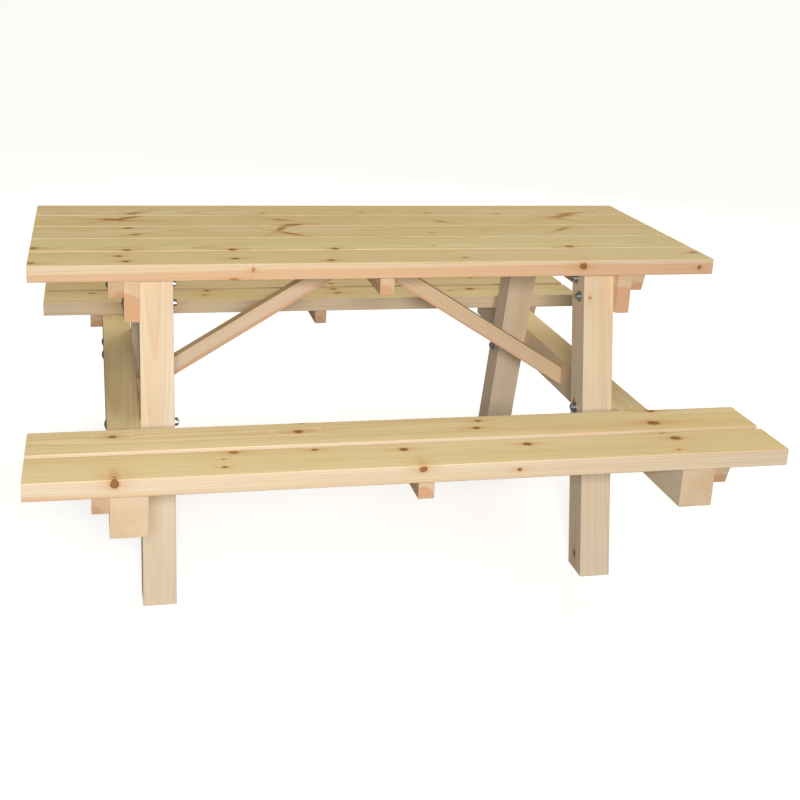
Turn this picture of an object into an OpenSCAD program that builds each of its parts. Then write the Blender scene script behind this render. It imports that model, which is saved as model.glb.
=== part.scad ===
// Picnic table with two fixed benches, built from planed timber, bolts and wood screws.
// Origin: on the ground under the centre of the top. +X runs along the top, +Y to the rear, +Z up.

/* [Overall] */
// Length of the top and of both seats
table_length = 1600; // [1300:10:2000]
// Height of the top's upper face above the ground
table_height = 765; // [690:5:830]
// Height of the seats' upper face above the ground
seat_height = 450; // [400:5:500]
// Overall depth, from the front seat's outer edge to the rear seat's
overall_depth = 1450; // [1350:10:1740]

/* [Top boards] */
// Number of boards in the top
top_board_count = 5; // [4:1:6]
// Width of one top board
top_board_w = 120; // [95:1:144]
// Thickness of the top boards
top_board_t = 38; // [31:1:46]
// Open joint between two top boards
top_gap = 5; // [3:1:12]

/* [Seat boards] */
// Width of one seat board
seat_board_w = 117; // [97:1:141]
// Thickness of the seat boards
seat_board_t = 38; // [31:1:46]
// Open joint between the two boards of a seat
seat_gap = 16; // [5:1:22]
// Radius of the eased long edges of the boards
edge_r = 2; // [0.5:0.5:4]

/* [Legs] */
// Width of a leg along the table
leg_w = 75; // [62:1:90]
// Depth of a leg, square to its slope
leg_d = 75; // [68:1:90]
// Lean of each leg from the vertical, in degrees
leg_slope = 12; // [9:0.5:15]
// Setback of a leg's outer face behind the edge of the top, at its top end
leg_setback = 36.5; // [20:0.5:50]
// Distance from the end of the top to the outer face of the legs
end_overhang = 238; // [198:1:286]

/* [Cross members] */
// Thickness of the beam under the top
beam_t = 34; // [28:1:41]
// Height of the beam under the top
beam_h = 95; // [80:1:114]
// Setback of the beam's ends behind the edge of the top
beam_setback = 6; // [2:1:12]
// Width of the bearer under the seats
bearer_w = 75; // [62:1:90]
// Height of the bearer under the seats
bearer_h = 90; // [75:1:108]
// Setback of the bearer's ends behind the edge of the seats
bearer_setback = 8; // [2:1:12]

/* [Battens and cleats] */
// Width of the battens at the ends of the top and seats
batten_w = 34; // [28:1:41]
// Height of those battens
batten_h = 42; // [35:1:50]
// Setback of a batten's end, at its upper face, behind the board edge
batten_setback = 6; // [2:1:10]
// Undercut of a batten's end from its upper to its lower face
batten_undercut = 14; // [6:1:17]
// Width of the cleats at the middle of the top and seats
cleat_w = 34; // [28:1:41]
// Height of those cleats
cleat_h = 45; // [37:1:54]
// Setback of a cleat's square end behind the board edge
cleat_setback = 20; // [12:1:22]

/* [Braces] */
// Thickness of a brace, front to back
brace_t = 34; // [28:1:41]
// Height of a brace, square to its slope
brace_h = 40; // [34:1:48]

/* [Small bolts] */
// Thread diameter of the bolts through the beams
small_bolt_d = 8; // [6:1:8]
// Width across the flats of their nuts
small_hex = 13; // [12:1:15]
// Diameter of their domed heads
small_head_d = 20; // [18:1:22]
// Height of their domed heads
small_head_h = 4.4; // [3.5:0.1:5.5]
// Height of their nuts
small_nut_h = 6.8; // [5:0.1:8]
// Outer diameter of their washers
small_washer_d = 28; // [24:1:30]

/* [Large bolts] */
// Thread diameter of the bolts through the bearers
large_bolt_d = 10; // [8:1:12]
// Width across the flats of their nuts
large_hex = 16; // [15:1:19]
// Diameter of their domed heads
large_head_d = 24; // [22:1:27]
// Height of their domed heads
large_head_h = 5; // [4:0.1:6.5]
// Height of their nuts
large_nut_h = 8.4; // [6:0.1:10]
// Outer diameter of their washers
large_washer_d = 30; // [25:1:36]

/* [Bolt setting out] */
// Thickness of every washer, one under each nut
washer_t = 2; // [1.5:0.5:3]
// Distance of a bolt's centre from the nearer side of its leg
bolt_edge = 28; // [24:1:32]
// Distance of a bearer bolt from the bearer's nearer edge
bearer_bolt_edge = 21; // [18:1:25]
// Gap between the beam bolt's washer and the level of the batten's underside
beam_bolt_gap = 8; // [3:1:10]
// Length of thread that stands out of a nut
bolt_tail = 2; // [1:1:12]
// Play of a bolt in its hole, on the diameter
bolt_play = 1; // [0.5:0.1:1.5]

/* [Screws] */
// Diameter of the board screws
screw_d = 5; // [4:0.5:6]
// Depth that a board screw goes into its board
screw_bite = 28; // [20:1:29]
// Distance between the two screws of one board
screw_pitch = 60; // [52:1:64]
// Diameter of the long screws through the bearers into the braces
long_screw_d = 6; // [5:0.5:8]
// Depth that a long screw goes into a brace
long_screw_bite = 45; // [35:1:48]
// Distance between the two long screws of one brace, which lie side by side
long_screw_pitch = 16; // [12:1:18]
// Distance of the long screws below the brace's upper edge, where it meets the bearer
long_screw_edge = 10; // [8:1:14]
// Depth that a side screw goes into the bearer
side_screw_bite = 36; // [25:1:55]
// Length of the skew screw at a brace's upper end
skew_screw_l = 60; // [45:1:65]
// Play of a screw in its hole, on the diameter
screw_play = 0.2; // [0.1:0.1:0.4]

/* [Hidden] */
$fn = 48;
through = 1;                 // overrun that makes a cut go right through
head_ratio = 2;              // a screw head's diameter over its shank's
tip_ratio = 1.2;             // a screw tip's length over its shank's diameter
pilot_spare = 1;             // free depth below a screw's tip
nut_play = 0.2;              // play of the thread in a nut, on the diameter
washer_play = 1;             // play of a bolt in its washer, on the diameter
dome_shoulder = 0.74;        // a domed head's width halfway up, over its diameter
dome_top = 0.3;              // width of its flat top, over its diameter
skew = 30;                   // angle of the skew screws to the brace
skew_start = 28;             // distance of a skew screw's head from the cleat

top_under = table_height - top_board_t;
seat_under = seat_height - seat_board_t;
top_depth = top_board_count * top_board_w + (top_board_count - 1) * top_gap;
seat_depth = 2 * seat_board_w + seat_gap;
seat_outer = overall_depth / 2;
seat_inner = seat_outer - seat_depth;

leg_outer_x = table_length / 2 - end_overhang;
leg_inner_x = leg_outer_x - leg_w;
leg_cut = leg_d / cos(leg_slope);
beam_outer_x = leg_outer_x + beam_t;
batten_outer_x = beam_outer_x + batten_w;
top_batten_x = beam_outer_x + batten_w / 2;
bearer_outer_x = leg_outer_x + bearer_w;
seat_batten_x = bearer_outer_x + batten_w / 2;
bearer_mid_z = seat_under - bearer_h / 2;

// Distance of a leg's outer and inner face from the middle of the table, at height z
function leg_face_y(z) = top_depth / 2 - leg_setback + (top_under - z) * tan(leg_slope);
function leg_back_y(z) = leg_face_y(z) - leg_cut;

// Centres of the boards across the table, and of the pair of screws in each
function top_board_y(i) = (i - (top_board_count - 1) / 2) * (top_board_w + top_gap);
seat_board_y = [seat_outer - seat_board_w / 2, seat_inner + seat_board_w / 2];
pair = [-1, 1];
top_screw_y = [for (i = [0 : top_board_count - 1], s = pair) top_board_y(i) + s * screw_pitch / 2];
seat_screw_y = [for (y = seat_board_y, s = pair) y + s * screw_pitch / 2];

// Moves a bolt at y outwards where it would come too close to an upright screw
bolt_to_screw = (small_bolt_d + bolt_play + screw_d) / 2 + 3;
function clear_of_screws(y) = max([for (x = top_screw_y) abs(y - x) < bolt_to_screw ? x + bolt_to_screw : y]);

// Bolt heights, and distances from the middle of the table
batten_bolt_z = top_under - batten_h + small_washer_d / 2 + 1;
batten_bolt_y = clear_of_screws(leg_back_y(batten_bolt_z) + bolt_edge);
beam_bolt_z = top_under - batten_h - beam_bolt_gap - small_washer_d / 2;
beam_bolt_y = leg_face_y(beam_bolt_z) - bolt_edge;
upper_bearer_bolt_z = seat_under - bearer_bolt_edge;
upper_bearer_bolt_y = leg_back_y(upper_bearer_bolt_z) + bolt_edge;
lower_bearer_bolt_z = seat_under - bearer_h + bearer_bolt_edge;
lower_bearer_bolt_y = leg_face_y(lower_bearer_bolt_z) - bolt_edge;
bearer_bolt_yz = [
    [upper_bearer_bolt_y, upper_bearer_bolt_z],
    [lower_bearer_bolt_y, lower_bearer_bolt_z]
];

// A brace drops from the top's underside, at the cleat, to the middle of the bearer's inner face
brace_run = leg_outer_x - cleat_w / 2;
brace_rise = top_under - bearer_mid_z;
brace_angle = acos(brace_h / 2 / norm([brace_run, brace_rise])) - atan2(brace_run, brace_rise);
brace_cut = brace_h / cos(brace_angle);
brace_low_z = bearer_mid_z - brace_cut / 2;

END_NAMES = ["left", "right"];
SIDE_NAMES = ["front", "rear"];

// Mirrors a piece that is drawn in the rear right quarter: e is -1 for left, s is -1 for front
module placed(e, s) {
    mirror([e < 0 ? 1 : 0, 0, 0])
        mirror([0, s < 0 ? 1 : 0, 0])
            children();
}

module each_quarter() {
    for (e = pair, s = pair)
        placed(e, s) children();
}

// Turns a piece that points up into one that points away from the table's middle, along X
module outward() {
    rotate([0, 90, 0]) children();
}

// ---- Fastener shapes, each with its head's seat at the origin ----

module hex_bar(flats, h) {
    cylinder(h = h, d = flats / cos(30), $fn = 6);
}

// A coach bolt with a low domed head, made of two cones. Its square neck is left out.
module coach_bolt(d, head_d, head_h, grip) {
    half = head_h / 2;
    cylinder(h = half, d1 = head_d, d2 = head_d * dome_shoulder);
    translate([0, 0, half]) cylinder(h = half, d1 = head_d * dome_shoulder, d2 = head_d * dome_top);
    translate([0, 0, -grip]) cylinder(h = grip + half, d = d);
}

module hex_nut(d, flats, h) {
    difference() {
        hex_bar(flats, h);
        translate([0, 0, -through]) cylinder(h = h + 2 * through, d = d + nut_play);
    }
}

module washer(d, outer) {
    difference() {
        cylinder(h = washer_t, d = outer);
        translate([0, 0, -through]) cylinder(h = washer_t + 2 * through, d = d + washer_play);
    }
}

// A countersunk screw that points up, with the face of its head at the origin
module wood_screw(d, length, play = 0) {
    head_d = d * head_ratio + play;
    shank_d = d + play;
    sink = (head_d - shank_d) / 2;
    tip = d * tip_ratio;
    cylinder(h = sink, d1 = head_d, d2 = shank_d);
    cylinder(h = length - tip, d = shank_d);
    translate([0, 0, length - tip]) cylinder(h = tip, d1 = shank_d, d2 = play + d / 5);
}

module screw_hole(d, length) {
    translate([0, 0, -through]) cylinder(h = through, d = d * head_ratio + screw_play);
    wood_screw(d, length, screw_play);
    cylinder(h = length + pilot_spare, d = d + screw_play);
}

// A bolt hole along X, from x0 to x1
module bolt_hole(d, x0, x1, y, z) {
    translate([x0 - through, y, z])
        outward() cylinder(h = x1 - x0 + 2 * through, d = d + bolt_play);
}

// ---- Screw positions ----

module at_top_batten_screws(y_list = top_screw_y) {
    for (e = pair, y = y_list)
        translate([e * top_batten_x, y, top_under - batten_h]) children();
}

module at_top_cleat_screws(y_list = top_screw_y) {
    for (y = y_list)
        translate([0, y, top_under - cleat_h]) children();
}

module at_seat_batten_screws(y_list = seat_screw_y) {
    for (e = pair, s = pair, y = y_list)
        translate([e * seat_batten_x, s * y, seat_under - batten_h]) children();
}

module at_seat_cleat_screws(y_list = seat_screw_y) {
    for (s = pair, y = y_list)
        translate([0, s * y, seat_under - cleat_h]) children();
}

module at_side_screws() {
    for (y = seat_board_y)
        each_quarter()
            translate([bearer_outer_x + batten_w, y, seat_under - batten_h / 2])
                rotate([0, -90, 0]) children();
}

module at_brace_end_screws() {
    for (e = pair, s = pair)
        placed(e, 1)
            translate([bearer_outer_x, s * long_screw_pitch / 2, brace_low_z + brace_cut - long_screw_edge])
                rotate([0, -90, 0]) children();
}

// One skew screw goes in from the front of the right brace, the other from the rear of the left
module at_brace_skew_screws() {
    for (turn = [0, 180])
        rotate([0, 0, turn])
            translate([cleat_w / 2 + skew_start, -brace_t / 2, top_under - cleat_h / 2])
                rotate([0, -90, -skew]) children();
}

batten_screw_l = batten_h + screw_bite;
cleat_screw_l = cleat_h + screw_bite;
side_screw_l = batten_w + side_screw_bite;
long_screw_l = bearer_w + long_screw_bite;

// ---- Boards ----

// A planed board along X, with its lower face at z = 0
module board(w, t) {
    translate([0, 0, t / 2])
        rotate([90, 0, 90])
            linear_extrude(table_length, center = true) {
                square([w - 2 * edge_r, t], center = true);
                square([w, t - 2 * edge_r], center = true);
                for (a = pair, b = pair)
                    translate([a * (w / 2 - edge_r), b * (t / 2 - edge_r)]) circle(edge_r);
            }
}

module top_board(i) {
    screw_y = [for (s = pair) top_board_y(i) + s * screw_pitch / 2];
    color("#d9c48d")
        difference() {
            translate([0, top_board_y(i), top_under]) board(top_board_w, top_board_t);
            at_top_batten_screws(screw_y) screw_hole(screw_d, batten_screw_l);
            at_top_cleat_screws(screw_y) screw_hole(screw_d, cleat_screw_l);
        }
}

module seat_board(s, y) {
    screw_y = [for (k = pair) y + k * screw_pitch / 2];
    color("#e3cf9c")
        difference() {
            translate([0, s * y, seat_under]) board(seat_board_w, seat_board_t);
            at_seat_batten_screws(screw_y) screw_hole(screw_d, batten_screw_l);
            at_seat_cleat_screws(screw_y) screw_hole(screw_d, cleat_screw_l);
        }
}

// ---- End frames ----

module leg(e, s) {
    color("#e8d3b2")
        placed(e, s)
            difference() {
                translate([leg_inner_x, 0, 0])
                    rotate([90, 0, 90])
                        linear_extrude(leg_w)
                            polygon([
                                [leg_back_y(0), 0],
                                [leg_face_y(0), 0],
                                [leg_face_y(top_under), top_under],
                                [leg_back_y(top_under), top_under]
                            ]);
                bolt_hole(small_bolt_d, leg_inner_x, leg_outer_x, batten_bolt_y, batten_bolt_z);
                bolt_hole(small_bolt_d, leg_inner_x, leg_outer_x, beam_bolt_y, beam_bolt_z);
                for (p = bearer_bolt_yz)
                    bolt_hole(large_bolt_d, leg_inner_x, leg_outer_x, p[0], p[1]);
            }
}

module table_beam(e) {
    half = top_depth / 2 - beam_setback;
    color("#dfc59f")
        difference() {
            placed(e, 1)
                translate([leg_outer_x, -half, top_under - beam_h]) cube([beam_t, 2 * half, beam_h]);
            for (s = pair)
                placed(e, s) {
                    bolt_hole(small_bolt_d, leg_outer_x, beam_outer_x, batten_bolt_y, batten_bolt_z);
                    bolt_hole(small_bolt_d, leg_outer_x, beam_outer_x, beam_bolt_y, beam_bolt_z);
                }
        }
}

module seat_bearer(e) {
    half = seat_outer - bearer_setback;
    color("#dcc6a4")
        difference() {
            placed(e, 1)
                translate([leg_outer_x, -half, seat_under - bearer_h]) cube([bearer_w, 2 * half, bearer_h]);
            for (s = pair, p = bearer_bolt_yz)
                placed(e, s) bolt_hole(large_bolt_d, leg_outer_x, bearer_outer_x, p[0], p[1]);
            at_side_screws() screw_hole(screw_d, side_screw_l);
            at_brace_end_screws() screw_hole(long_screw_d, long_screw_l);
        }
}

// ---- Battens, cleats and braces ----

// A batten across the boards from y0 to y1, with both ends undercut and its upper face at z = 0
module undercut_batten(x, y0, y1) {
    translate([x - batten_w / 2, 0, 0])
        rotate([90, 0, 90])
            linear_extrude(batten_w)
                polygon([
                    [y0, 0],
                    [y0 + batten_undercut, -batten_h],
                    [y1 - batten_undercut, -batten_h],
                    [y1, 0]
                ]);
}

module table_batten(e) {
    half = top_depth / 2 - batten_setback;
    color("#e2c8a0")
        difference() {
            translate([0, 0, top_under]) undercut_batten(e * top_batten_x, -half, half);
            for (s = pair)
                placed(e, s)
                    bolt_hole(small_bolt_d, beam_outer_x, batten_outer_x, batten_bolt_y, batten_bolt_z);
            at_top_batten_screws() screw_hole(screw_d, batten_screw_l);
        }
}

module seat_batten(e, s) {
    color("#e0bf9a")
        difference() {
            placed(e, s)
                translate([0, 0, seat_under])
                    undercut_batten(seat_batten_x, seat_inner + batten_setback, seat_outer - batten_setback);
            at_seat_batten_screws() screw_hole(screw_d, batten_screw_l);
            at_side_screws() screw_hole(screw_d, side_screw_l);
        }
}

module cleat(y0, y1, under) {
    translate([-cleat_w / 2, y0, under - cleat_h]) cube([cleat_w, y1 - y0, cleat_h]);
}

module table_cleat() {
    half = top_depth / 2 - cleat_setback;
    color("#dcbb93")
        difference() {
            cleat(-half, half, top_under);
            at_top_cleat_screws() screw_hole(screw_d, cleat_screw_l);
            at_brace_skew_screws() screw_hole(screw_d, skew_screw_l);
        }
}

module seat_cleat(s) {
    color("#dcbb93")
        difference() {
            placed(1, s) cleat(seat_inner + cleat_setback, seat_outer - cleat_setback, seat_under);
            at_seat_cleat_screws() screw_hole(screw_d, cleat_screw_l);
        }
}

module brace(e) {
    color("#e6c9a4")
        difference() {
            placed(e, 1)
                translate([0, brace_t / 2, 0])
                    rotate([90, 0, 0])
                        linear_extrude(brace_t)
                            polygon([
                                [cleat_w / 2, top_under],
                                [cleat_w / 2, top_under - brace_cut],
                                [leg_outer_x, brace_low_z],
                                [leg_outer_x, brace_low_z + brace_cut]
                            ]);
            at_brace_end_screws() screw_hole(long_screw_d, long_screw_l);
            at_brace_skew_screws() screw_hole(screw_d, skew_screw_l);
        }
}

// ---- Fastener groups ----

module bolts_through(d, head_d, head_h, nut_h, x_face, y, z) {
    grip = x_face - leg_inner_x + washer_t + nut_h + bolt_tail;
    color("#b9bcc0")
        each_quarter()
            translate([x_face, y, z]) outward() coach_bolt(d, head_d, head_h, grip);
}

module batten_bolts() {
    bolts_through(small_bolt_d, small_head_d, small_head_h, small_nut_h,
        batten_outer_x, batten_bolt_y, batten_bolt_z);
}

module beam_bolts() {
    bolts_through(small_bolt_d, small_head_d, small_head_h, small_nut_h,
        beam_outer_x, beam_bolt_y, beam_bolt_z);
}

module bearer_bolts() {
    for (p = bearer_bolt_yz)
        bolts_through(large_bolt_d, large_head_d, large_head_h, large_nut_h,
            bearer_outer_x, p[0], p[1]);
}

module nuts_at(d, flats, h, yz_list) {
    color("#c3c5c8")
        for (p = yz_list)
            each_quarter()
                translate([leg_inner_x - washer_t - h, p[0], p[1]]) outward() hex_nut(d, flats, h);
}

module small_nuts() {
    nuts_at(small_bolt_d, small_hex, small_nut_h,
        [[batten_bolt_y, batten_bolt_z], [beam_bolt_y, beam_bolt_z]]);
}

module large_nuts() {
    nuts_at(large_bolt_d, large_hex, large_nut_h, bearer_bolt_yz);
}

module washers_at(d, outer, yz_list) {
    color("#cfd1d3")
        for (p = yz_list)
            each_quarter()
                translate([leg_inner_x - washer_t, p[0], p[1]]) outward() washer(d, outer);
}

module small_washers() {
    washers_at(small_bolt_d, small_washer_d,
        [[batten_bolt_y, batten_bolt_z], [beam_bolt_y, beam_bolt_z]]);
}

module large_washers() {
    washers_at(large_bolt_d, large_washer_d, bearer_bolt_yz);
}

module top_screws() {
    color("#c9c2a2") {
        at_top_batten_screws() wood_screw(screw_d, batten_screw_l);
        at_top_cleat_screws() wood_screw(screw_d, cleat_screw_l);
    }
}

module seat_screws() {
    color("#c9c2a2") {
        at_seat_batten_screws() wood_screw(screw_d, batten_screw_l);
        at_seat_cleat_screws() wood_screw(screw_d, cleat_screw_l);
    }
}

module side_screws() {
    color("#c9c2a2") at_side_screws() wood_screw(screw_d, side_screw_l);
}

module brace_end_screws() {
    color("#c9c2a2") at_brace_end_screws() wood_screw(long_screw_d, long_screw_l);
}

module brace_skew_screws() {
    color("#c9c2a2") at_brace_skew_screws() wood_screw(screw_d, skew_screw_l);
}

// ---- What is drawn ----

for (i = [0 : top_board_count - 1])
    top_board(i);

for (s = [0, 1]) {
    seat_board(pair[s], seat_board_y[0]);
    seat_board(pair[s], seat_board_y[1]);
    seat_cleat(pair[s]);
}

for (e = [0, 1]) {
    table_beam(pair[e]);
    seat_bearer(pair[e]);
    table_batten(pair[e]);
    brace(pair[e]);
}

for (s = [0, 1], e = [0, 1]) {
    leg(pair[e], pair[s]);
    seat_batten(pair[e], pair[s]);
}

table_cleat();
batten_bolts();
beam_bolts();
bearer_bolts();
small_nuts();
large_nuts();
small_washers();
large_washers();
top_screws();
seat_screws();
side_screws();
brace_end_screws();
brace_skew_screws();
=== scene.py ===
"""Picnic table: planed pine timbers, zinc-plated bolts and wood screws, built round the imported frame."""
import math
import random

import bmesh
import bpy
from bpy.props import FloatProperty, FloatVectorProperty, IntProperty, PointerProperty
from mathutils import Matrix, Vector


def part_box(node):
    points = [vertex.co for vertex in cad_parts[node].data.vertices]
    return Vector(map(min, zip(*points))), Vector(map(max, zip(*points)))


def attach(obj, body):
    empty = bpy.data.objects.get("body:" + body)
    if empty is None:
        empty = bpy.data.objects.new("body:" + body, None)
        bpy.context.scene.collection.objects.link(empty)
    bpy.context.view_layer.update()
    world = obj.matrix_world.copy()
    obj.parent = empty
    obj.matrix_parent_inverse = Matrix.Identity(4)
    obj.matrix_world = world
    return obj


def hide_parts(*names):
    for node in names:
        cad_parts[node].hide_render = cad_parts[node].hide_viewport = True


bl_info = {
    "name": "Picnic table",
    "version": (1, 0, 0),
    "blender": (4, 5, 0),
    "location": "View3D > Sidebar > Picnic table",
    "description": "Builds a pine picnic table with its bolts and screws, and a studio stage",
    "category": "Add Mesh",
}

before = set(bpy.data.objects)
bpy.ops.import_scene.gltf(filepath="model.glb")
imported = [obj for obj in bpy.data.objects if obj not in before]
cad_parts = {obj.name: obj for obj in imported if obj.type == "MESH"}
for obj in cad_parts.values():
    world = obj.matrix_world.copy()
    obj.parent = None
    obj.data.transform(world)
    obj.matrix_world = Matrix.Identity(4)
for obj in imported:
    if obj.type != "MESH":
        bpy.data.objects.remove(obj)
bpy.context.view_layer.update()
MM = 0.001
ENDS = ("left", "right")
SIDES = ("front", "rear")
X, Y, Z = (Vector(row) for row in Matrix.Identity(3))


# ---- Sizes and colours ----


def length(name, description, default):
    return FloatProperty(name=name, description=description, default=default, min=0, unit="LENGTH")


def colour(name, description, default):
    return FloatVectorProperty(
        name=name, description=description, default=default, min=0, max=1, size=3, subtype="COLOR"
    )


class PicnicTimberSizes(bpy.types.PropertyGroup):
    """How the timbers are finished and how their grain runs"""

    board_edge: length("Board edge", "Radius of the boards' long edges", 2 * MM)
    frame_edge: length("Frame edge", "Radius of the frame timbers' long edges", 1.5 * MM)
    end_edge: length("End edge", "Chamfer round a sawn end", 0.6 * MM)
    ring_gap: length("Ring gap", "Distance from one growth ring to the next", 3.4 * MM)
    sway: length("Sway", "How far the pith wanders along a timber", 16 * MM)


class PicnicPineColours(bpy.types.PropertyGroup):
    """Colours of the planed pine"""

    sapwood: colour("Sapwood", "Pale outer wood", (0.89, 0.75, 0.56))
    straw: colour("Straw", "Deeper streaks of the pale wood", (0.83, 0.66, 0.44))
    heartwood: colour("Heartwood", "Pinkish inner wood", (0.80, 0.50, 0.305))
    latewood: colour("Latewood", "Dark line of a growth ring", (0.70, 0.42, 0.19))
    halo: colour("Halo", "Resin-rich wood round a knot", (0.66, 0.33, 0.11))
    knot: colour("Knot", "Face of a knot", (0.40, 0.17, 0.055))
    bark: colour("Bark", "Dark ring round a knot", (0.13, 0.05, 0.02))
    # Painted light: faces that point up are tinted yellow for the warm light from above
    painted_top_light: colour("Painted top light", "Painted light: tint of faces that point up", (0.97, 0.97, 0.77))
    sawn: colour("Sawn end", "Tint of end grain", (0.93, 0.86, 0.81))


class PicnicFastenerSizes(bpy.types.PropertyGroup):
    """Detail of the coach bolts, nuts, washers and screws"""

    small_flats: length("Small hex", "Width across the flats of the small nuts", 13 * MM)
    large_flats: length("Large hex", "Width across the flats of the large nuts", 16 * MM)
    small_thread: length("Small thread", "Diameter of the small bolts", 8 * MM)
    large_thread: length("Large thread", "Diameter of the large bolts", 10 * MM)
    small_head: length("Small head", "Height of the small bolts' domed heads", 4.4 * MM)
    large_head: length("Large head", "Height of the large bolts' domed heads", 5 * MM)
    small_pitch: length("Small pitch", "Pitch of the small bolts' thread", 1.25 * MM)
    large_pitch: length("Large pitch", "Pitch of the large bolts' thread", 1.5 * MM)
    head_rim: length("Head rim", "Thickness of a domed head at its rim", 0.5 * MM)
    thread_length: length("Thread length", "Longest threaded part of a bolt", 40 * MM)
    nut_sink: length("Nut countersink", "Depth of the countersink at a nut's thread", 0.4 * MM)
    washer_play: length("Washer play", "Gap between a bolt and its washer", 0.5 * MM)
    washer_edge: length("Washer edge", "Chamfer of a washer's rim", 0.35 * MM)
    thin_screw: length("Thin screw", "Diameter of most wood screws", 5 * MM)
    thick_screw: length("Thick screw", "Diameter of the screws into the braces' ends", 6 * MM)
    screw_proud: length("Screw proud", "How far a screw's head stands out of the wood", 0.3 * MM)
    around: IntProperty(name="Around", description="Steps round a turned shape", default=36, min=12)


class PicnicMetalColours(bpy.types.PropertyGroup):
    """Colours of the fasteners"""

    zinc: colour("Zinc", "Bright zinc plate on bolts, nuts and washers", (0.52, 0.55, 0.58))
    dull_zinc: colour("Dull zinc", "Duller patches of the zinc plate", (0.25, 0.28, 0.31))
    yellow_zinc: colour("Yellow zinc", "Yellow plate of the wood screws", (0.72, 0.58, 0.30))
    dull_yellow: colour("Dull yellow", "Worn patches of the yellow plate", (0.42, 0.34, 0.22))


class PicnicStudio(bpy.types.PropertyGroup):
    """Floor, lights and camera"""

    floor: colour("Floor", "Colour of the floor", (0.62, 0.62, 0.62))
    key_power: FloatProperty(name="Key light", description="Front light", default=80, unit="POWER")
    back_power: FloatProperty(name="Back light", description="Light behind", default=45, unit="POWER")
    overhead: FloatProperty(name="Overhead", description="Strength of the soft top light", default=1.05)
    sky: FloatProperty(name="Sky", description="Strength of the even light all round", default=0.18)
    glow: FloatProperty(name="Floor glow", description="Light from the floor itself", default=0.66)
    backdrop: FloatProperty(name="Backdrop", description="Brightness behind the table", default=1.0)


# Distances within which points count as one, or as part of a timber's end, and the largest angle
# between faces that count as one flat face
WELD = 1e-7
THREAD_WELD = 0.02 * MM
CAD_WELD = 0.001 * MM
AT_END = 0.1 * MM
FLAT = math.radians(0.5)

# Steps across a timber's eased edge, and round or along the fasteners' curved parts
EDGE_STEPS = 3
DOME_STEPS = 8
SHANK_STEPS = 24
THREAD_STEPS = 16

# Stage: distances in metres, angles in degrees, lens and sensor in mm
FLOOR_SIZE = 160
AIM = (0, 0, 0.45)
KEY_PLACE, KEY_SIZE, KEY_TINT = (-0.6, -3.3, 1.62), (0.5, 0.4), (1, 0.985, 0.97)
BACK_PLACE, BACK_SIZE, BACK_TINT = (1.8, 3.6, 2.2), (2.0, 1.6), (1, 0.95, 0.86)
OVERHEAD_TURN, OVERHEAD_SPREAD, OVERHEAD_TINT = (-12, 8, 0), 70, (1, 0.95, 0.76)
CAMERA_PLACE = (-0.658, -2.878, 1.441)
CAMERA_YAW, CAMERA_PITCH, CAMERA_ROLL = 12.45, -16.19, 2.58
LENS, SENSOR, SHIFT = 54.26, 36, (0.0625, -0.125)

SETTINGS = {
    "picnic_timber": PicnicTimberSizes,
    "picnic_pine": PicnicPineColours,
    "picnic_fastener": PicnicFastenerSizes,
    "picnic_metal": PicnicMetalColours,
    "picnic_studio": PicnicStudio,
}


# ---- Shader expressions ----


class Value:
    """A shader value. Each operator adds one Math node."""

    def __init__(self, paint, socket):
        self.paint = paint
        self.socket = socket

    def math(self, operation, *others):
        inputs = dict(enumerate((self, *others)))
        return self.paint.add("Math", {"operation": operation}, inputs)

    def __add__(self, other):
        return self.math("ADD", other)

    def __sub__(self, other):
        return self.math("SUBTRACT", other)

    def __rsub__(self, other):
        return self.paint.add("Math", {"operation": "SUBTRACT"}, {0: other, 1: self})

    def __mul__(self, other):
        return self.math("MULTIPLY", other)

    def __truediv__(self, other):
        return self.math("DIVIDE", other)

    def __abs__(self):
        return self.math("ABSOLUTE")

    __radd__ = __add__
    __rmul__ = __mul__


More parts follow.
